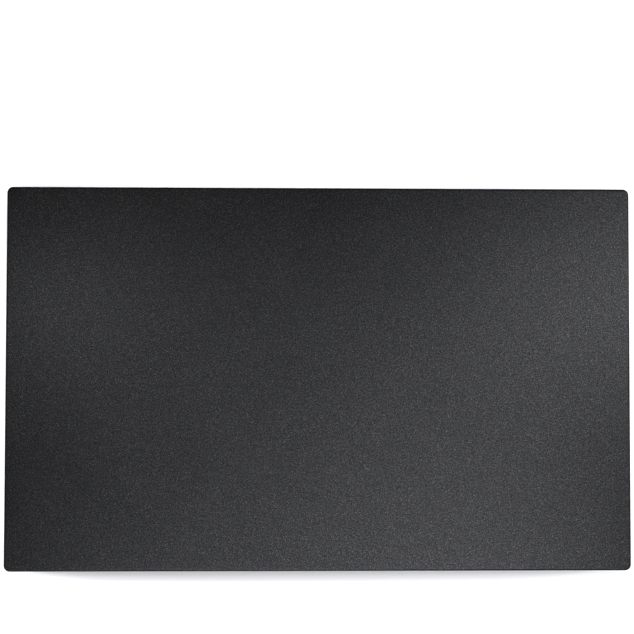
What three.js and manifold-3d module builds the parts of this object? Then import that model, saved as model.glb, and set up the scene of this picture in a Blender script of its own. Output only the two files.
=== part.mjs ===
// A flat gastronorm 1/1 display tray: a pressed melamine shell that stands on six push-in feet.
// Millimetres, +Z up. The origin is the middle of the tray on the surface that its feet stand on, X runs
// along the tray and -Y is its front.

import * as THREE from "three";
import { mergeVertices, toCreasedNormals } from "three/addons/utils/BufferGeometryUtils.js";
import Module from "manifold-3d";

// Shell, outside
const TRAY_LENGTH = 530; // gastronorm 1/1, measured over the skirt's rim
const TRAY_WIDTH = 325;
const BODY_HEIGHT = 13; // from the rim up to the serving face
const CORNER_RADIUS = 5.5; // in plan, at the rim
const TOP_EDGE_RADIUS = 2;
const RIM_EDGE_RADIUS = 0.8;
const DRAFT_DEGREES = 2; // the skirt flares out towards its rim, so that the shell leaves its mould

// Shell, walls
const PLATE_THICKNESS = 4.5;
const SKIRT_THICKNESS = 4;
const INNER_CORNER_RADIUS = 9; // in plan, at the rim
const INNER_FILLET_RADIUS = 3; // between the plate's underside and the skirt

// Foot bosses on the underside
const FOOT_INSET_FROM_END = 42; // tray's end to the foot's axis
const FOOT_INSET_FROM_SIDE = 38; // tray's long side to the foot's axis
const BOSS_SETBACK = 1; // rim up to the boss's lower face
const SEAT_WALL = 2.6; // ring of the boss around the foot's head
const SEAT_DEPTH = 1.5; // how far the head sits in the boss
const SOCKET_ROOF = 5; // material between the socket's end and the serving face
const SOCKET_LEAD_IN = 0.5; // chamfer at the socket's mouth

// Feet
const FOOT_STANDOFF = 2; // surface up to the skirt's rim
const HEAD_DIAMETER = 14;
const HEAD_EDGE_RADIUS = 1.2; // around the tread
const STEM_DIAMETER = 4.6;
const STEM_RIB_DIAMETER = 5.6;
const STEM_RIB_PITCH = 1.5;
const STEM_TIP_CHAMFER = 0.6;
const HEAD_CLEARANCE = 0.3; // head to the seat's ring, all round
const STEM_CLEARANCE = 0.3; // ribs to the socket's wall
const STEM_END_CLEARANCE = 0.5; // stem's tip to the socket's end

// Facets
const CORNER_STEPS = 8; // segments in a quarter turn in plan
const EDGE_STEPS = 4; // segments in a rounded edge
const ROUND_SIDES = 32; // sides of a boss, a socket and a foot
const BOSS_ROOT = 1; // how far a boss runs into the plate, to be joined to it
const CREASE_ANGLE = THREE.MathUtils.degToRad(35);

// Heights above the surface
const RIM_Z = FOOT_STANDOFF;
const TOP_Z = RIM_Z + BODY_HEIGHT;
const UNDERSIDE_Z = TOP_Z - PLATE_THICKNESS;
const BOSS_FACE_Z = RIM_Z + BOSS_SETBACK;
const SEAT_Z = BOSS_FACE_Z + SEAT_DEPTH;
const SOCKET_END_Z = TOP_Z - SOCKET_ROOF;
const STEM_TIP_Z = SOCKET_END_Z - STEM_END_CLEARANCE;

// Radii around a foot's axis
const HEAD_RADIUS = HEAD_DIAMETER / 2;
const SEAT_RADIUS = HEAD_RADIUS + HEAD_CLEARANCE;
const BOSS_RADIUS = SEAT_RADIUS + SEAT_WALL;
const STEM_RADIUS = STEM_DIAMETER / 2;
const RIB_RADIUS = STEM_RIB_DIAMETER / 2;
const SOCKET_RADIUS = RIB_RADIUS + STEM_CLEARANCE;

const DRAFT = THREE.MathUtils.degToRad(DRAFT_DEGREES);
const WIDEST_Z = RIM_Z + RIM_EDGE_RADIUS * (1 + Math.sin(DRAFT)); // where the skirt meets its rim's rounding
const QUARTER_TURN = Math.PI / 2;

const wasm = await Module();
wasm.setup();

// A closed geometry as a solid that can be joined and cut.
function solidOf(geometry) {
  const bare = geometry.clone();
  bare.deleteAttribute("normal");
  bare.deleteAttribute("uv");
  const merged = mergeVertices(bare);
  return new wasm.Manifold(
    new wasm.Mesh({
      numProp: 3,
      vertProperties: merged.attributes.position.array,
      triVerts: new Uint32Array(merged.index.array),
    }),
  );
}

function geometryOf(solid) {
  const mesh = solid.getMesh();
  const geometry = new THREE.BufferGeometry();
  geometry.setAttribute("position", new THREE.BufferAttribute(mesh.vertProperties, 3));
  geometry.setIndex(new THREE.BufferAttribute(mesh.triVerts, 1));
  return toCreasedNormals(geometry, CREASE_ANGLE);
}

// Points [out, z] on an arc about a centre, from one angle to another.
function arc(centreOut, centreZ, radius, from, to) {
  return Array.from({ length: EDGE_STEPS + 1 }, (_, step) => {
    const angle = from + ((to - from) * step) / EDGE_STEPS;
    return [centreOut + radius * Math.cos(angle), centreZ + radius * Math.sin(angle)];
  });
}

// The outline in plan of a rectangle with round corners, counter-clockwise.
function roundedRectangle(length, width, radius) {
  const x = length / 2 - radius;
  const y = width / 2 - radius;
  const centres = [[x, y], [-x, y], [-x, -y], [x, -y]];
  return centres.flatMap(([centreX, centreY], corner) =>
    Array.from({ length: CORNER_STEPS + 1 }, (_, step) => {
      const angle = QUARTER_TURN * (corner + step / CORNER_STEPS);
      return new THREE.Vector2(centreX + radius * Math.cos(angle), centreY + radius * Math.sin(angle));
    }),
  );
}

// A closed skin through outlines of equally many points, from the first outline's face to the last one's.
function lofted(outlines) {
  const count = outlines[0].points.length;
  const positions = outlines.flatMap(({ points, z }) => points.flatMap((point) => [point.x, point.y, z]));
  const faces = [];
  for (let level = 0; level + 1 < outlines.length; level++) {
    for (let i = 0; i < count; i++) {
      const low = level * count + i;
      const lowNext = level * count + ((i + 1) % count);
      faces.push(low, lowNext, low + count, lowNext, lowNext + count, low + count);
    }
  }
  const firstFace = THREE.ShapeUtils.triangulateShape(outlines[0].points, []);
  firstFace.forEach(([a, b, c]) => faces.push(a, c, b));
  const last = (outlines.length - 1) * count;
  const lastFace = THREE.ShapeUtils.triangulateShape(outlines.at(-1).points, []);
  lastFace.forEach(([a, b, c]) => faces.push(last + a, last + b, last + c));
  const geometry = new THREE.BufferGeometry();
  geometry.setAttribute("position", new THREE.Float32BufferAttribute(positions, 3));
  geometry.setIndex(faces);
  return geometry;
}

// A solid of revolution about Z. The profile of [radius, z] runs from the axis below to the axis above.
function revolved(profile) {
  const points = profile.map(([radius, z]) => new THREE.Vector2(radius, z));
  const geometry = new THREE.LatheGeometry(points, ROUND_SIDES);
  return geometry.rotateX(QUARTER_TURN);
}

// How far in from the tray's plan outline the skirt's outer and inner faces lie at a height.
const outerFaceIn = (z) => (z - WIDEST_Z) * Math.tan(DRAFT);
const innerFaceIn = (z) => SKIRT_THICKNESS + outerFaceIn(z);

// The shell's section as [in, z]: along the underside's fillet, down the skirt's inside, round the rim.
function innerSection() {
  const filletZ = UNDERSIDE_Z - INNER_FILLET_RADIUS;
  const filletIn = innerFaceIn(filletZ) + INNER_FILLET_RADIUS / Math.cos(DRAFT);
  const rimZ = RIM_Z + RIM_EDGE_RADIUS;
  const rimIn = innerFaceIn(rimZ) - RIM_EDGE_RADIUS / Math.cos(DRAFT);
  return [
    ...arc(filletIn, filletZ, INNER_FILLET_RADIUS, QUARTER_TURN, Math.PI - DRAFT),
    ...arc(rimIn, rimZ, RIM_EDGE_RADIUS, -DRAFT, -QUARTER_TURN),
  ];
}

// The rest of it: round the rim's outer edge, up the skirt's outside and over the serving face's edge.
function outerSection() {
  const rimZ = RIM_Z + RIM_EDGE_RADIUS;
  const rimIn = outerFaceIn(rimZ) + RIM_EDGE_RADIUS / Math.cos(DRAFT);
  const topZ = TOP_Z - TOP_EDGE_RADIUS;
  const topIn = outerFaceIn(topZ) + TOP_EDGE_RADIUS / Math.cos(DRAFT);
  return [
    ...arc(rimIn, rimZ, RIM_EDGE_RADIUS, -QUARTER_TURN, -Math.PI - DRAFT),
    ...arc(topIn, topZ, TOP_EDGE_RADIUS, Math.PI - DRAFT, QUARTER_TURN),
  ];
}

function outlineAt([inset, z], radiusAtRim, insetAtRim) {
  const radius = radiusAtRim + insetAtRim - inset;
  return { points: roundedRectangle(TRAY_LENGTH - 2 * inset, TRAY_WIDTH - 2 * inset, radius), z };
}

function shell() {
  return lofted([
    ...innerSection().map((point) => outlineAt(point, INNER_CORNER_RADIUS, SKIRT_THICKNESS)),
    ...outerSection().map((point) => outlineAt(point, CORNER_RADIUS, 0)),
  ]);
}

function boss() {
  const rootZ = UNDERSIDE_Z + BOSS_ROOT;
  const rootRadius = BOSS_RADIUS + (rootZ - BOSS_FACE_Z) * Math.tan(DRAFT);
  return revolved([[0, BOSS_FACE_Z], [BOSS_RADIUS, BOSS_FACE_Z], [rootRadius, rootZ], [0, rootZ]]);
}

// What is cut from a boss: the seat for the foot's head and, above it, the blind socket for the stem.
function footHole() {
  const belowZ = BOSS_FACE_Z - SEAT_DEPTH;
  return revolved([
    [0, belowZ],
    [SEAT_RADIUS, belowZ],
    [SEAT_RADIUS, SEAT_Z],
    [SOCKET_RADIUS + SOCKET_LEAD_IN, SEAT_Z],
    [SOCKET_RADIUS, SEAT_Z + SOCKET_LEAD_IN],
    [SOCKET_RADIUS, SOCKET_END_Z],
    [0, SOCKET_END_Z],
  ]);
}

// A foot: a round head that the tray stands on, and a stem with sharp ribs that grip the socket.
function foot() {
  const edgeIn = HEAD_RADIUS - HEAD_EDGE_RADIUS;
  const tread = arc(edgeIn, HEAD_EDGE_RADIUS, HEAD_EDGE_RADIUS, -QUARTER_TURN, 0);
  const profile = [[0, 0], ...tread, [HEAD_RADIUS, SEAT_Z], [STEM_RADIUS, SEAT_Z]];
  const ribsEndZ = STEM_TIP_Z - STEM_TIP_CHAMFER;
  const ribs = Math.floor((ribsEndZ - SEAT_Z) / STEM_RIB_PITCH);
  for (let rib = 1; rib <= ribs; rib++) {
    const ribZ = SEAT_Z + rib * STEM_RIB_PITCH;
    profile.push([RIB_RADIUS, ribZ - STEM_RIB_PITCH / 2], [STEM_RADIUS, ribZ]);
  }
  profile.push([STEM_RADIUS, ribsEndZ], [STEM_RADIUS - STEM_TIP_CHAMFER, STEM_TIP_Z], [0, STEM_TIP_Z]);
  return revolved(profile);
}

// Where the feet stand: an even row along each long side.
function footPlaces() {
  const endX = TRAY_LENGTH / 2 - FOOT_INSET_FROM_END;
  const sideY = TRAY_WIDTH / 2 - FOOT_INSET_FROM_SIDE;
  const rows = [["front", -sideY], ["rear", sideY]];
  const along = [["left", -endX], ["middle", 0], ["right", endX]];
  return rows.flatMap(([row, y]) => along.map(([place, x]) => ({ name: `foot_${row}_${place}`, x, y })));
}

function trayBody() {
  let body = solidOf(shell());
  const bossSolid = solidOf(boss());
  const holeSolid = solidOf(footHole());
  for (const { x, y } of footPlaces()) {
    body = body.add(bossSolid.translate([x, y, 0])).subtract(holeSolid.translate([x, y, 0]));
  }
  return geometryOf(body);
}

function named(name, geometry, material) {
  const mesh = new THREE.Mesh(geometry, material);
  mesh.name = name;
  return mesh;
}

const melamine = new THREE.MeshStandardMaterial({ color: 0x2b2b2d, roughness: 0.6, metalness: 0 });
const footRubber = new THREE.MeshStandardMaterial({ color: 0x1b1b1c, roughness: 0.9, metalness: 0 });

const tray = new THREE.Group();
tray.add(named("tray_body", trayBody(), melamine));
for (const { name, x, y } of footPlaces()) {
  const mesh = named(name, foot(), footRubber);
  mesh.position.set(x, y, 0);
  tray.add(mesh);
}

export default tray;
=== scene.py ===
# %% [markdown]
# # A flat buffet tray in matt black melamine
#
# The real tray is one pressed moulding: a flat serving plate with a low skirt turned down all round. Six soft
# feet are pushed into bosses under the plate, so the tray neither slips nor rattles on a counter.
# The measured solids are loaded first and stay where they are. Every piece made below stands in for one of them,
# in the same place and at the same size, with a finer surface and a finish of its own.

# %% Load the measured solids
import math

import bmesh
import bpy
from mathutils import Matrix, Vector


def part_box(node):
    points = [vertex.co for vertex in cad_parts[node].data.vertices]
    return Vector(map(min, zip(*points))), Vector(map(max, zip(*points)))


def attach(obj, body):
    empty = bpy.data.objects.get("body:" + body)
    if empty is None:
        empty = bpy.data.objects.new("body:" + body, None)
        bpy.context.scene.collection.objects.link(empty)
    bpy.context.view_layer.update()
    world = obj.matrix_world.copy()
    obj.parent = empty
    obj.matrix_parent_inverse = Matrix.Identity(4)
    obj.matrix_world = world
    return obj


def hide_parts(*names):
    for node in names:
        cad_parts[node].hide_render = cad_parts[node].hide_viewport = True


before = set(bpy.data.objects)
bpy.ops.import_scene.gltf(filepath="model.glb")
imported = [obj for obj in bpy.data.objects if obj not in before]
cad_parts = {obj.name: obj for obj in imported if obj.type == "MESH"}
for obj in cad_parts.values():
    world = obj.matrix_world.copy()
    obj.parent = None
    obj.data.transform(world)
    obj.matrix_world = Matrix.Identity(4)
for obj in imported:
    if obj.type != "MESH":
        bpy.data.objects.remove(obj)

MM = 0.001
scene = bpy.context.scene
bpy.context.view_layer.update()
print("solids:", sorted(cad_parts))

# %% [markdown]
# ## The camera
#
# The photograph looks almost straight down, from about a metre above the plate. The four edges of the tray run
# very slightly together, and that small convergence fixes where the camera stood. A free camera could be turned
# with Euler angles, but here its three axes are known, so they go straight into its matrix as columns.

# %% Camera above the plate
LENS = 70
SENSOR = 36
CAMERA_PLACE = Vector((-25.0, 17.0, 1059.2)) * MM
LOOKS_ALONG = Vector((0.02195, 0.03366, -0.99919))
TOP_OF_PICTURE = Vector((-0.00226, 0.99943, 0.03362))


def facing(place, along, top):
    """The matrix of a camera or lamp at a place, which looks along one direction with another one at its top."""
    back = -along.normalized()
    right = top.cross(back).normalized()
    turn = Matrix((right, back.cross(right), back)).transposed()
    return Matrix.Translation(place) @ turn.to_4x4()


lens = bpy.data.cameras.new("camera")
lens.lens = LENS
lens.sensor_width = SENSOR
camera = bpy.data.objects.new("camera", lens)
scene.collection.objects.link(camera)
camera.matrix_world = facing(CAMERA_PLACE, LOOKS_ALONG, TOP_OF_PICTURE)
scene.camera = camera
print("camera at", [round(v, 4) for v in camera.matrix_world.translation])

# %% [markdown]
# ## Small helpers for node trees
#
# Materials, the sky and the shape rules below are all node trees. Four helpers keep them readable: one fills a
# socket, one adds a node, one does a sum, and one spreads a range of values over another.

# %% Node helpers
def fill(tree, socket, value):
    """Links the value if it comes from another node, or else sets it on the socket itself."""
    if isinstance(value, bpy.types.NodeSocket):
        tree.links.new(value, socket)
    else:
        socket.default_value = value


def add(tree, kind, given=None, **settings):
    """A new node with its settings and the sockets that are given by name."""
    node = tree.nodes.new(kind)
    for name, value in settings.items():
        setattr(node, name, value)
    for name, value in (given or {}).items():
        fill(tree, node.inputs[name], value)
    return node


def sums(tree, operation, *values):
    """The result of one Math node."""
    node = add(tree, "ShaderNodeMath", operation=operation)
    for socket, value in zip(node.inputs, values):
        fill(tree, socket, value)
    return node.outputs[0]


def spread(tree, value, low, high, to_low, to_high):
    """The value's range from low to high, taken smoothly to another range and held there outside it."""
    given = {"Value": value, "From Min": low, "From Max": high, "To Min": to_low, "To Max": to_high}
    return add(tree, "ShaderNodeMapRange", given, interpolation_type="SMOOTHSTEP").outputs["Result"]


print("node helpers ready")

# %% [markdown]
# ## The studio around the tray
#
# In a product picture the backdrop is white but the room is not: seen from above the plate mirrors a dark ceiling and
# stays black, and seen from the side it mirrors pale walls and shows a sheen. A ramp on the height of a ray gives
# walls and ceiling, and a ray that comes straight from the camera meets the white backdrop instead.

# %% World
BACKDROP_LIGHT = 1.0
WALL_LIGHT = 0.45
CEILING_LIGHT = 0.03
WALL_ENDS = 0.42
CEILING_STARTS = 0.72
WHITE = (1, 1, 1, 1)

world = bpy.data.worlds.new("studio")
scene.world = world
world.use_nodes = True
sky = world.node_tree
sky.nodes.clear()
direction = add(sky, "ShaderNodeTexCoord").outputs["Generated"]
height = add(sky, "ShaderNodeSeparateXYZ", {"Vector": direction}).outputs["Z"]
room = spread(sky, height, WALL_ENDS, CEILING_STARTS, WALL_LIGHT, CEILING_LIGHT)
seen = add(sky, "ShaderNodeLightPath").outputs["Is Camera Ray"]
strength = spread(sky, seen, 0.0, 1.0, room, BACKDROP_LIGHT)
background = add(sky, "ShaderNodeBackground", {"Color": WHITE, "Strength": strength})
sky.links.new(background.outputs[0], add(sky, "ShaderNodeOutputWorld").inputs["Surface"])
scene.view_settings.view_transform = "Standard"
print("backdrop", BACKDROP_LIGHT, "walls", WALL_LIGHT, "ceiling", CEILING_LIGHT)

# %% [markdown]
# ## The floor
#
# The floor is a plain white sweep. Close to the tray it glows only a little and is lit by lamps, so that the tray can
# shade it. Further off it glows by itself and meets the white backdrop with no edge.

# %% Floor
FLOOR_SIZE = 60.0
FLOOR_TONE = (0.9, 0.9, 0.9, 1)
FLOOR_ROUGHNESS = 0.9
FLOOR_SHINE = 0.0
GLOW_STARTS = 0.38
GLOW_FULL = 0.9
GLOW_NEAR = 0.155
GLOW_FAR = 1.1


def flat_square(name, size):
    """A square mesh object in the plane of the floor."""
    half = size / 2
    corners = [(-half, -half, 0), (half, -half, 0), (half, half, 0), (-half, half, 0)]
    mesh = bpy.data.meshes.new(name)
    mesh.from_pydata(corners, [], [(0, 1, 2, 3)])
    square = bpy.data.objects.new(name, mesh)
    scene.collection.objects.link(square)
    return square


floor = flat_square("floor", FLOOR_SIZE)
paint = bpy.data.materials.new("white_sweep")
paint.use_nodes = True
tree = paint.node_tree
shader = tree.nodes["Principled BSDF"]
shader.inputs["Base Color"].default_value = FLOOR_TONE
shader.inputs["Roughness"].default_value = FLOOR_ROUGHNESS
shader.inputs["Specular IOR Level"].default_value = FLOOR_SHINE
shader.inputs["Emission Color"].default_value = WHITE
place = add(tree, "ShaderNodeTexCoord").outputs["Object"]
distance = add(tree, "ShaderNodeVectorMath", {"Vector": place}, operation="LENGTH").outputs["Value"]
glow = spread(tree, distance, GLOW_STARTS, GLOW_FULL, GLOW_NEAR, GLOW_FAR)
fill(tree, shader.inputs["Emission Strength"], glow)
floor.data.materials.append(paint)
print("floor of", FLOOR_SIZE, "m")

# %% [markdown]
# ## Soft boxes on the plate
#
# A matt plate shows the lamps as broad, blurred patches. The photograph has a bright right side, a bright front,
# a small patch at the left and a dark far edge. Each patch is the mirror image of one or two soft boxes, so a box
# stands where a mirror on the plate would show it to the camera. A panel overhead lifts the middle a little.

# %% Soft boxes
LAMP_COLOUR = (0.98, 0.985, 1.04)
UPWARDS = Vector((0, 0, 1))


def soft_box(name, place, aim, width, depth, radiance):
    """A rectangular lamp that is aimed at a point and is as bright as asked over its whole face."""
    lamp = bpy.data.lights.new(name, "AREA")
    lamp.shape = "RECTANGLE"
    lamp.size = width
    lamp.size_y = depth
    lamp.energy = radiance * math.pi * width * depth
    lamp.color = LAMP_COLOUR
    box = bpy.data.objects.new(name, lamp)
    scene.collection.objects.link(box)
    box.matrix_world = facing(Vector(place), Vector(aim) - Vector(place), UPWARDS)
    box.visible_camera = False
    return box


MIDDLE = (0, 0, 0)
PLATE_LAMPS = (  # name, place, width, depth and radiance
    ("right_strip", (0.497, 0.121, 0.55), 0.26, 0.74, 1.90),
    ("right_edge", (0.45, 0.10, 0.55), 0.10, 0.30, 1.30),
    ("left_spot", (-0.298, 0.08, 0.55), 0.10, 0.15, 3.77),
    ("front_box", (0.052, -0.466, 0.96), 0.89, 0.53, 1.58),
    ("front_right_panel", (0.3, -0.3, 0.55), 0.25, 0.25, 0.80),
    ("ceiling_panel", (0.087, -0.048, 0.55), 0.33, 0.63, 0.59),
)
for name, place, width, depth, radiance in PLATE_LAMPS:
    soft_box(name, place, MIDDLE, width, depth, radiance)
    print(name, "at", place)

# %% [markdown]
# ## Lamps for the floor alone
#
# The floor has to be white right up to the tray, with one soft shadow in front of it. A lamp behind the tray throws
# that shadow, and two low lamps at the sides thin it towards the ends. Light linking keeps these lamps off the
# plate, where they would show as extra patches: each one lights only what is in its collection.

# %% Floor lamps
floor_only = bpy.data.collections.new("floor_only")
floor_only.objects.link(floor)
FRONT_EDGE = (0, -0.165, 0)
FLOOR_LAMPS = (  # name, place, aim, width, depth and radiance
    ("rear_wash", (0.0, 0.51, 0.76), FRONT_EDGE, 1.0, 0.30, 7.6),
    ("left_fill", (-0.7, -0.12, 0.08), (-0.2, -0.165, 0), 0.06, 0.08, 470.0),
    ("right_fill", (0.7, -0.13, 0.08), (0.2, -0.165, 0), 0.06, 0.08, 370.0),
)
for name, place, aim, width, depth, radiance in FLOOR_LAMPS:
    lamp = soft_box(name, place, aim, width, depth, radiance)
    lamp.light_linking.receiver_collection = floor_only
    print(name, "at", place)

# %% [markdown]
# ## A low lamp that leaves the floor out
#
# The far edge of the plate is dark and the near edge is not, so something low in front must light the rounding there.
# This soft box does. It would wash out the shadow on the floor, so its collection holds the floor as the one thing
# that it doesn't light.

# %% Low lamp in front
LOW_PLACE = (0.0, -0.85, 0.66)
LOW_WIDTH = 0.8
LOW_DEPTH = 0.40
LOW_RADIANCE = 4.6

all_but_floor = bpy.data.collections.new("all_but_floor")
all_but_floor.objects.link(floor)
all_but_floor.collection_objects[0].light_linking.link_state = "EXCLUDE"
low_front = soft_box("low_front", LOW_PLACE, FRONT_EDGE, LOW_WIDTH, LOW_DEPTH, LOW_RADIANCE)
low_front.light_linking.receiver_collection = all_but_floor

# %% [markdown]
# ## The finish of the plate: matt black melamine
#
# The mould is sandblasted, so the plate comes out black with a fine, even grain that glints here and there. The
# grain could be bump alone, but it is about as fine as one picture point, and bump of that size is smoothed away with
# the noise of a render. So it also changes how much the surface reflects, because a pit hides part of its own
# reflection, and with that the tone and the roughness. A second noise, flat and finer in its effect, adds specks to
# the shine. A slow mottle over a few centimetres keeps the sheen from being perfectly even. The edge is duller than
# the plate, because it is sanded when the moulding has been trimmed, and down the skirt half of the shine comes back.

# %% Size of the tray for the sanded edge
CORNER_RADIUS = 5.5 * MM
tray_low, tray_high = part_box("tray_body")
LENGTH = tray_high.x - tray_low.x
WIDTH = tray_high.y - tray_low.y
TOP = tray_high.z
RIM = tray_low.z
print("tray", round(LENGTH, 4), "by", round(WIDTH, 4), "from", round(RIM, 4), "to", round(TOP, 4))

# %% Helpers for finishes
def new_finish(name):
    """A material with an empty principled shader; gives back the material, its tree and the shader."""
    finish = bpy.data.materials.new(name)
    finish.use_nodes = True
    return finish, finish.node_tree, finish.node_tree.nodes["Principled BSDF"]


def noise(tree, place, cells, detail, **settings):
    """The value of a noise with so many cells to the metre."""
    given = {"Vector": place, "Scale": cells, "Detail": detail}
    return add(tree, "ShaderNodeTexNoise", given, **settings).outputs[0]


def blended(tree, share, first, second):
    """A colour between two others."""
    node = add(tree, "ShaderNodeMix", data_type="RGBA")
    fill(tree, node.inputs["Factor"], share)
    for socket, value in zip([s for s in node.inputs if s.type == "RGBA"], (first, second)):
        fill(tree, socket, value)
    return [s for s in node.outputs if s.type == "RGBA"][0]


print("finish helpers ready")

# %% Melamine: grain, mottle, specks and flecks
GRAIN_CELLS = 2300  # with this number the plate lies midway between two layers of cells, where the noise is strong
MOTTLE_CELLS = 26
SPECK_CELLS = 1300
SPECK_TILT = (0.5, 0.35, 0.45)  # a tilted flat noise has no streaks on the skirt and no beat with the picture points
FLECK_CELLS = 420
FLECK_SIZE = (0.08, 0.2)
FLECK_CHANCE = (0.75, 0.95)

melamine, tree, shader = new_finish("black_melamine")
place = add(tree, "ShaderNodeTexCoord").outputs["Object"]
grain = noise(tree, place, GRAIN_CELLS, detail=2.0)
mottle = noise(tree, place, MOTTLE_CELLS, detail=3.0)
tilted = add(tree, "ShaderNodeMapping", {"Vector": place, "Rotation": SPECK_TILT}).outputs[0]
speck = noise(tree, tilted, SPECK_CELLS, detail=0.0, noise_dimensions="2D")
cells = add(tree, "ShaderNodeTexVoronoi", {"Vector": place, "Scale": FLECK_CELLS})
chance = add(tree, "ShaderNodeSeparateXYZ", {"Vector": cells.outputs["Color"]}).outputs["X"]
near = spread(tree, cells.outputs["Distance"], *FLECK_SIZE, 1.0, 0.0)
fleck = sums(tree, "MULTIPLY", near, spread(tree, chance, *FLECK_CHANCE, 0.0, 1.0))
print("cells of grain and specks in mm:", [round(1 / count / MM, 2) for count in (GRAIN_CELLS, SPECK_CELLS)])

# %% The sanded edge: distance from the rounded outline
SANDED_FULLY = 1.2 * MM
SANDED_WIDTH = 2.2 * MM
SANDED_END = 9.0 * MM
SANDED_SHINE = 0.12
SKIRT_SHINE = 0.5


def past_centre(axis, size):
    """How far a point lies beyond the corners' centres along one axis, or zero."""
    beyond = sums(tree, "SUBTRACT", sums(tree, "ABSOLUTE", axis), size / 2 - CORNER_RADIUS)
    return sums(tree, "MAXIMUM", beyond, 0.0)


axes = add(tree, "ShaderNodeSeparateXYZ", {"Vector": place}).outputs
past = {"X": past_centre(axes["X"], LENGTH), "Y": past_centre(axes["Y"], WIDTH)}
past = add(tree, "ShaderNodeCombineXYZ", past).outputs[0]
past = add(tree, "ShaderNodeVectorMath", {"Vector": past}, operation="LENGTH").outputs["Value"]
from_edge = sums(tree, "SUBTRACT", CORNER_RADIUS, past)
below_top = sums(tree, "SUBTRACT", TOP, axes["Z"])
across = spread(tree, from_edge, SANDED_FULLY, SANDED_WIDTH, SANDED_SHINE, 1.0)
down = spread(tree, below_top, 0.0, SANDED_END, SANDED_SHINE, SKIRT_SHINE)
left_shine = sums(tree, "MAXIMUM", across, down)
print("edge sanded over", round(SANDED_WIDTH / MM, 1), "mm, skirt over", round(SANDED_END / MM, 1), "mm")

# %% Tone and shine of the melamine
NOISE_RANGE = (0.3, 0.7)  # where most values of a noise lie
PEAK_RANGE = (0.25, 0.75)
PEAK_SHARPNESS = 4.0
PIT_SHINE = 0.371
PEAK_SHINE = 1.90
MOTTLE_SHINE = 0.03
SPECK_SHINE = 0.36
MELAMINE_DARK = (0.0025, 0.0025, 0.0027, 1)
MELAMINE_PALE = (0.0051, 0.0051, 0.0054, 1)
FLECK_TONE = (0.03, 0.03, 0.031, 1)

tone = blended(tree, spread(tree, grain, *NOISE_RANGE, 0.0, 1.0), MELAMINE_DARK, MELAMINE_PALE)
fill(tree, shader.inputs["Base Color"], blended(tree, fleck, tone, FLECK_TONE))
peaks = sums(tree, "POWER", spread(tree, grain, *PEAK_RANGE, 0.0, 1.0), PEAK_SHARPNESS)
shine = spread(tree, peaks, 0.0, 1.0, PIT_SHINE, PEAK_SHINE)
for unevenness, share in ((mottle, MOTTLE_SHINE), (speck, SPECK_SHINE)):
    shine = sums(tree, "MULTIPLY", shine, spread(tree, unevenness, *NOISE_RANGE, 1 - share, 1 + share))
fill(tree, shader.inputs["Specular IOR Level"], sums(tree, "MULTIPLY", shine, left_shine))
print("melamine shines from", PIT_SHINE, "in a pit to", PEAK_SHINE, "on a peak")

# %% Roughness and bump of the melamine
MATT = 0.35
GRAIN_MATT = 0.03
MOTTLE_MATT = 0.02
SANDED_MATT = 0.2
GRAIN_DEPTH = 0.08 * MM
FLECK_HEIGHT = 0.5

rough = spread(tree, grain, *NOISE_RANGE, MATT + GRAIN_MATT, MATT - GRAIN_MATT)
rough = sums(tree, "ADD", rough, spread(tree, mottle, *NOISE_RANGE, -MOTTLE_MATT, MOTTLE_MATT))
rough = sums(tree, "ADD", rough, spread(tree, left_shine, 0.0, 1.0, SANDED_MATT, 0.0))
fill(tree, shader.inputs["Roughness"], rough)
relief = sums(tree, "ADD", grain, sums(tree, "MULTIPLY", fleck, FLECK_HEIGHT))
bump = add(tree, "ShaderNodeBump", {"Height": relief, "Strength": 1.0, "Distance": GRAIN_DEPTH})
fill(tree, shader.inputs["Normal"], bump.outputs["Normal"])
print("melamine roughness", MATT, "on the plate and", MATT + SANDED_MATT, "where it is sanded")

# %% [markdown]
# ## The finish of the feet: soft black rubber
#
# The feet are dull and a little dusty, with a scuffed tread where they stand. They are mostly out of sight, so two
# noises do: one fine for the skin of the rubber, one coarser for dust. Height above the floor marks the tread.

# %% Foot rubber
SKIN_CELLS = 2600
DUST_CELLS = 240
RUBBER_DARK = (0.010, 0.010, 0.0105, 1)
RUBBER_DUSTY = (0.035, 0.034, 0.033, 1)
SKIN_DEPTH = 0.03 * MM
SKIN_MATT = (0.68, 0.84)
DUST_RANGE = (0.4, 0.7)
TREAD_TOP = 0.8 * MM
SCUFF_ABOVE = 0.25

rubber, tree, shader = new_finish("soft_rubber")
place = add(tree, "ShaderNodeTexCoord").outputs["Object"]
skin = noise(tree, place, SKIN_CELLS, detail=2.0)
dust = noise(tree, place, DUST_CELLS, detail=4.0)
above = add(tree, "ShaderNodeSeparateXYZ", {"Vector": place}).outputs["Z"]
tread = spread(tree, above, 0.0, TREAD_TOP, 1.0, SCUFF_ABOVE)
scuff = sums(tree, "MULTIPLY", tread, spread(tree, dust, *DUST_RANGE, 0.0, 1.0))
fill(tree, shader.inputs["Base Color"], blended(tree, scuff, RUBBER_DARK, RUBBER_DUSTY))
fill(tree, shader.inputs["Roughness"], spread(tree, skin, *NOISE_RANGE, *SKIN_MATT))
bump = add(tree, "ShaderNodeBump", {"Height": skin, "Strength": 1.0, "Distance": SKIN_DEPTH})
fill(tree, shader.inputs["Normal"], bump.outputs["Normal"])
print("rubber: skin of", round(1 / SKIN_CELLS / MM, 2), "mm")

# %% [markdown]
# ## One rule for every piece: a section carried round a rounded rectangle
#
# Cut the tray anywhere along its edge and the cut looks the same: plate, rounded edge, skirt, rim, fillet. So the
# shell is that one section carried round a rectangle with round corners. It could be swept with Curve to Mesh, but
# the inner corners are rounder than the outer ones, so each point of the section also needs its own corner radius.
# A section is therefore a row of points that hold three numbers: how far in from the outline, corner radius in plan,
# and height. The tree lays a grid with one row for each point and one column for each step round the outline, and
# moves every grid point to its place. A round piece is the same thing with a rectangle that is all corner.
# The object's own points say where copies of the solid stand, so the same tree also repeats the bosses.

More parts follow.
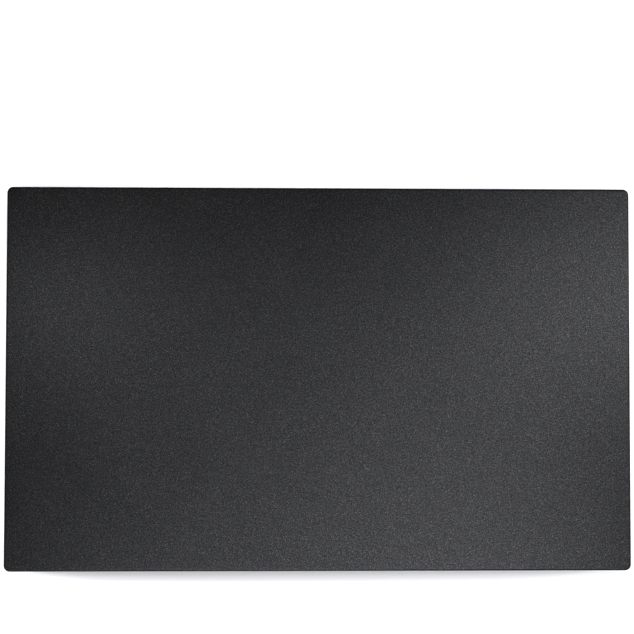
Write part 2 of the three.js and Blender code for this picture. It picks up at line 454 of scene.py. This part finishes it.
# %% The rule as a Geometry Nodes tree
CORNERS = 4
QUARTER_TURN = math.pi / 2
WELD = 0.001 * MM


def section_rule():
    """The empty tree: a section object goes in with the outline's length and width, and solids come out."""
    tree = bpy.data.node_groups.new("section_carried_round", "GeometryNodeTree")
    inputs = (
        ("Places", "NodeSocketGeometry"),
        ("Section", "NodeSocketObject"),
        ("Length", "NodeSocketFloat"),
        ("Width", "NodeSocketFloat"),
        ("Corner steps", "NodeSocketInt"),
        ("Finish", "NodeSocketMaterial"),
    )
    for name, kind in inputs:
        tree.interface.new_socket(name, in_out="INPUT", socket_type=kind)
    tree.interface.new_socket("Solids", in_out="OUTPUT", socket_type="NodeSocketGeometry")
    return tree


rule = section_rule()
given = add(rule, "NodeGroupInput").outputs
section = add(rule, "GeometryNodeObjectInfo", {"Object": given["Section"]}).outputs["Geometry"]
points = add(rule, "GeometryNodeAttributeDomainSize", {"Geometry": section}).outputs["Point Count"]
per_corner = sums(rule, "ADD", given["Corner steps"], 1.0)
last_column = sums(rule, "MULTIPLY", per_corner, CORNERS)
last_row = sums(rule, "SUBTRACT", points, 1.0)
sizes = {
    "Size X": last_column,
    "Size Y": last_row,
    "Vertices X": sums(rule, "ADD", last_column, 1.0),
    "Vertices Y": points,
}
sheet = add(rule, "GeometryNodeMeshGrid", sizes).outputs["Mesh"]
print("grid node set up with", len(sizes), "sizes")

# %% Which column and row a grid point is in, and what the section says there
spot = add(rule, "ShaderNodeSeparateXYZ", {"Vector": add(rule, "GeometryNodeInputPosition").outputs[0]}).outputs
column = sums(rule, "ROUND", sums(rule, "ADD", spot["X"], sums(rule, "DIVIDE", last_column, 2.0)))
row = sums(rule, "ROUND", sums(rule, "ADD", spot["Y"], sums(rule, "DIVIDE", last_row, 2.0)))
corner = sums(rule, "FLOOR", sums(rule, "DIVIDE", column, per_corner))
step = sums(rule, "SUBTRACT", column, sums(rule, "MULTIPLY", corner, per_corner))
part_turn = sums(rule, "DIVIDE", step, given["Corner steps"])
angle = sums(rule, "MULTIPLY", sums(rule, "ADD", corner, part_turn), QUARTER_TURN)
diagonal = sums(rule, "MULTIPLY", sums(rule, "ADD", corner, 0.5), QUARTER_TURN)
reader = add(rule, "GeometryNodeSampleIndex", {"Geometry": section, "Index": row}, data_type="FLOAT_VECTOR")
where = add(rule, "GeometryNodeInputPosition").outputs[0]
rule.links.new(where, [s for s in reader.inputs if s.name == "Value" and s.enabled][0])
sampled = [s for s in reader.outputs if s.enabled][0]
inset, radius, level = add(rule, "ShaderNodeSeparateXYZ", {"Vector": sampled}).outputs


def carried(side, wave):
    """One plan coordinate: out to the corner's centre, then round it by the corner radius."""
    half = sums(rule, "DIVIDE", side, 2.0)
    centre = sums(rule, "SUBTRACT", sums(rule, "SUBTRACT", half, inset), radius)
    towards = sums(rule, "SIGN", sums(rule, wave, diagonal))
    round_it = sums(rule, "MULTIPLY", radius, sums(rule, wave, angle))
    return sums(rule, "ADD", sums(rule, "MULTIPLY", centre, towards), round_it)


moved = {"X": carried(given["Length"], "COSINE"), "Y": carried(given["Width"], "SINE"), "Z": level}
target = add(rule, "ShaderNodeCombineXYZ", moved).outputs[0]
print("the rule has", len(rule.nodes), "nodes so far")

# %% Close the seam and the middle, set the copies out and give them their finish
skin = add(rule, "GeometryNodeSetPosition", {"Geometry": sheet, "Position": target}).outputs[0]
closed = add(rule, "GeometryNodeMergeByDistance", {"Geometry": skin, "Distance": WELD}).outputs[0]
copies = add(rule, "GeometryNodeInstanceOnPoints", {"Points": given["Places"], "Instance": closed}).outputs[0]
solid = add(rule, "GeometryNodeRealizeInstances", {"Geometry": copies}).outputs[0]
dressed = add(rule, "GeometryNodeSetMaterial", {"Geometry": solid, "Material": given["Finish"]}).outputs[0]
rule.links.new(dressed, add(rule, "NodeGroupOutput").inputs["Solids"])
SOCKETS = {item.name: item.identifier for item in rule.interface.items_tree if item.in_out == "INPUT"}
print("the rule has", len(rule.nodes), "nodes")

# %% [markdown]
# ## From rule to plain mesh
#
# A modifier's sockets are set by their identifiers before Blender works the modifier out for the first time. Then
# the result is copied into an ordinary mesh and the modifier goes, because a finished piece carries no live rule.

# %% Making a piece from a section
def points_object(name, points):
    """A helper object that is nothing but a row of joined points."""
    mesh = bpy.data.meshes.new(name)
    mesh.from_pydata(points, [(i, i + 1) for i in range(len(points) - 1)], [])
    holder = bpy.data.objects.new(name, mesh)
    scene.collection.objects.link(holder)
    return holder


def plain(piece):
    """Replaces a piece's live modifiers by the mesh that they make."""
    view = bpy.context.evaluated_depsgraph_get()
    mesh = bpy.data.meshes.new_from_object(piece.evaluated_get(view), depsgraph=view)
    mesh.name = piece.name
    piece.modifiers.clear()
    piece.data = mesh


def one_finish(piece, finish):
    """Leaves a single material slot on a piece, with every face in it."""
    piece.data.materials.clear()
    piece.data.materials.append(finish)
    piece.data.polygons.foreach_set("material_index", [0] * len(piece.data.polygons))


def carried_round(name, section, length, width, steps, places, finish):
    """A piece made by the rule: one solid at each of the places."""
    holder = points_object(name + "_section", section)
    piece = points_object(name, places)
    modifier = piece.modifiers.new("rule", "NODES")
    modifier.node_group = rule
    values = {"Section": holder, "Length": length, "Width": width, "Corner steps": steps, "Finish": finish}
    for socket, value in values.items():
        modifier[SOCKETS[socket]] = value
    plain(piece)
    one_finish(piece, finish)
    bpy.data.objects.remove(holder)
    print(name, "has", len(piece.data.vertices), "points and", len(piece.data.polygons), "faces")
    return piece


print("inputs of the rule:", list(SOCKETS))

# %% [markdown]
# ## The section of the shell
#
# Melamine is pressed in a hot mould and has to come out of it, so the skirt leans by two degrees and every edge is
# a little round. The section is drawn once from these sizes, as arcs joined by straight lines: from the middle of
# the underside out to the fillet, down the inside of the skirt, round the rim, up the outside and over the edge to
# the middle of the plate. At the middle the outline has shrunk to a line, which the rule welds shut.

# %% Sizes of the moulding
INNER_CORNER_RADIUS = 9.0 * MM
TOP_EDGE = 2.0 * MM
RIM_EDGE = 0.8 * MM
FILLET = 3.0 * MM
SKIRT = 4.0 * MM
PLATE = 4.5 * MM
DRAFT = math.radians(2)
UNDERSIDE = TOP - PLATE
WIDEST = RIM + RIM_EDGE * (1 + math.sin(DRAFT))
ARC_STEPS = 8
CORNER_STEPS = 20


def arc(across, up, size, start, end, steps=ARC_STEPS):
    """Points on an arc about a centre, from one angle to another."""
    angles = [start + (end - start) * i / steps for i in range(steps + 1)]
    return [(across + size * math.cos(a), up + size * math.sin(a)) for a in angles]


def outer_in(height):
    """How far in from the outline the skirt's outer face is at a height."""
    return (height - WIDEST) * math.tan(DRAFT)


print("skirt leans", round(outer_in(TOP) / MM, 2), "mm from rim to top")

# %% The shell's section
def shell_section():
    """Points of inset, corner radius and height from the middle of the underside to the middle of the plate."""
    middle = WIDTH / 2
    fillet_up = UNDERSIDE - FILLET
    fillet_in = SKIRT + outer_in(fillet_up) + FILLET / math.cos(DRAFT)
    rim_up = RIM + RIM_EDGE
    rim_out = outer_in(rim_up) + RIM_EDGE / math.cos(DRAFT)
    rim_in = SKIRT + outer_in(rim_up) - RIM_EDGE / math.cos(DRAFT)
    top_up = TOP - TOP_EDGE
    top_in = outer_in(top_up) + TOP_EDGE / math.cos(DRAFT)
    inner = arc(fillet_in, fillet_up, FILLET, QUARTER_TURN, math.pi - DRAFT)
    inner += arc(rim_in, rim_up, RIM_EDGE, -DRAFT, -QUARTER_TURN)
    outer = arc(rim_out, rim_up, RIM_EDGE, -QUARTER_TURN, -math.pi - DRAFT)
    outer += arc(top_in, top_up, TOP_EDGE, math.pi - DRAFT, QUARTER_TURN)
    inner_reach = INNER_CORNER_RADIUS + SKIRT
    points = [(middle, 0.0, UNDERSIDE), (inner_reach, 0.0, UNDERSIDE)]
    points += [(across, inner_reach - across, up) for across, up in inner]
    points += [(across, CORNER_RADIUS - across, up) for across, up in outer]
    return points + [(CORNER_RADIUS, 0.0, TOP), (middle, 0.0, TOP)]


tray = carried_round("tray_moulding", shell_section(), LENGTH, WIDTH, CORNER_STEPS, [(0, 0, 0)], melamine)

# %% [markdown]
# ## Bosses and sockets under the plate
#
# Each foot has a boss of its own: a stub with a shallow seat for the foot's head and a blind socket for its stem.
# The stubs are round solids from the same rule, repeated at the six places of the feet. A Boolean joins them to the
# shell and a second one cuts the seats and sockets, which is how they stay one closed skin with the plate.

# %% Places of the feet
FEET = sorted(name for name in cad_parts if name.startswith("foot_"))


def foot_place(name):
    """The middle of a foot on the floor."""
    low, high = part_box(name)
    return ((low.x + high.x) / 2, (low.y + high.y) / 2, 0.0)


foot_places = [foot_place(name) for name in FEET]
print({name: [round(v, 4) for v in place] for name, place in zip(FEET, foot_places)})

# %% Bosses and what is cut from them
HEAD_RADIUS = 7.0 * MM
SEAT_RADIUS = 7.3 * MM
BOSS_RADIUS = 9.9 * MM
BOSS_EDGE = 0.4 * MM
OVERLAP = 1.0 * MM
BOSS_FACE = 3.0 * MM
SEAT = 4.5 * MM
SOCKET_RADIUS = 3.1 * MM
SOCKET_LEAD = 0.5 * MM
SOCKET_END = 10.0 * MM
ROUND_STEPS = 16


def turned(name, profile, places, finish):
    """Round solids from a profile of radius and height that runs from the axis below to the axis above."""
    widest = max(radius for radius, _ in profile)
    section = [(widest - radius, radius, up) for radius, up in profile]
    return carried_round(name, section, 2 * widest, 2 * widest, ROUND_STEPS, places, finish)


root_radius = BOSS_RADIUS + (UNDERSIDE - BOSS_FACE) * math.tan(DRAFT)
boss_profile = [(0.0, BOSS_FACE)]
boss_profile += arc(BOSS_RADIUS - BOSS_EDGE, BOSS_FACE + BOSS_EDGE, BOSS_EDGE, -QUARTER_TURN, 0)
boss_profile += [(root_radius, UNDERSIDE + OVERLAP), (0.0, UNDERSIDE + OVERLAP)]
bosses = turned("bosses", boss_profile, foot_places, melamine)
hole_profile = [
    (0.0, BOSS_FACE - OVERLAP),
    (SEAT_RADIUS, BOSS_FACE - OVERLAP),
    (SEAT_RADIUS, SEAT),
    (SOCKET_RADIUS + SOCKET_LEAD, SEAT),
    (SOCKET_RADIUS, SEAT + SOCKET_LEAD),
    (SOCKET_RADIUS, SOCKET_END),
    (0.0, SOCKET_END),
]
holes = turned("foot_holes", hole_profile, foot_places, melamine)

# %% [markdown]
# ## Joining, and normals that keep flat faces flat
#
# Smooth shading averages the normals at every point, which would tilt the wide plate along its rounded edge. Sharp
# creases are marked first, then Weighted Normal lets the large faces decide, so the plate stays a true plane.

# %% Join, cut and shade
CREASE = math.radians(32)
LARGE_FACE_WEIGHT = 90
CUBIC_CM = 1e-6


def combine(piece, tool, operation):
    """Joins a tool to a piece or cuts it out, and removes the tool."""
    modifier = piece.modifiers.new(operation, "BOOLEAN")
    modifier.operation = operation
    modifier.object = tool
    modifier.solver = "EXACT"
    plain(piece)
    bpy.data.objects.remove(tool)


def shade(piece):
    """Smooth shading with creases kept sharp and large faces kept flat."""
    skin = bmesh.new()
    skin.from_mesh(piece.data)
    for face in skin.faces:
        face.smooth = True
    for edge in skin.edges:
        edge.smooth = edge.is_manifold and edge.calc_face_angle(math.pi) < CREASE
    open_edges = sum(not edge.is_manifold for edge in skin.edges)
    volume = skin.calc_volume(signed=True)
    skin.to_mesh(piece.data)
    skin.free()
    modifier = piece.modifiers.new("flat_faces", "WEIGHTED_NORMAL")
    modifier.mode = "FACE_AREA"
    modifier.weight = LARGE_FACE_WEIGHT
    modifier.keep_sharp = True
    plain(piece)
    print(piece.name, "volume", round(volume / CUBIC_CM, 2), "cm3, open edges", open_edges)


combine(tray, bosses, "UNION")
combine(tray, holes, "DIFFERENCE")
shade(tray)

# %% [markdown]
# ## The feet
#
# A foot is turned soft rubber: a round head to stand on and a stem with ribs like a fir tree, which go in easily and
# hold. The profile is one line, turned by the same rule at the foot's own place.

# %% Feet
HEAD_EDGE = 1.2 * MM
HEAD_TOP_EDGE = 0.3 * MM
SMALL_ARC_STEPS = 4
STEM_RADIUS = 2.3 * MM
RIB_RADIUS = 2.8 * MM
RIB_PITCH = 1.5 * MM
RIBS = 2
STEM_TIP = 9.5 * MM
TIP_CHAMFER = 0.6 * MM


def foot_profile():
    """Radius and height from the middle of the tread, over the head and up the ribbed stem to its tip."""
    profile = [(0.0, 0.0)]
    profile += arc(HEAD_RADIUS - HEAD_EDGE, HEAD_EDGE, HEAD_EDGE, -QUARTER_TURN, 0)
    top_across, top_up = HEAD_RADIUS - HEAD_TOP_EDGE, SEAT - HEAD_TOP_EDGE
    profile += arc(top_across, top_up, HEAD_TOP_EDGE, 0, QUARTER_TURN, SMALL_ARC_STEPS)
    profile += [(STEM_RADIUS, SEAT)]
    for rib in range(1, RIBS + 1):
        up = SEAT + rib * RIB_PITCH
        profile += [(RIB_RADIUS, up - RIB_PITCH / 2), (STEM_RADIUS, up)]
    tip = [(STEM_RADIUS, STEM_TIP - TIP_CHAMFER), (STEM_RADIUS - TIP_CHAMFER, STEM_TIP), (0.0, STEM_TIP)]
    return profile + tip


feet = {}
for name, place in zip(FEET, foot_places):
    feet[name] = turned(name.replace("foot_", "push_in_foot_"), foot_profile(), [place], rubber)
    shade(feet[name])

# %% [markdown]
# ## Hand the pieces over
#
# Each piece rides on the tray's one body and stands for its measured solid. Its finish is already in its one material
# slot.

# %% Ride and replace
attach(tray, "root")
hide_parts("tray_body")
for name, foot in feet.items():
    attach(foot, "root")
    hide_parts(name)
print("pieces:", [tray.name] + [foot.name for foot in feet.values()])
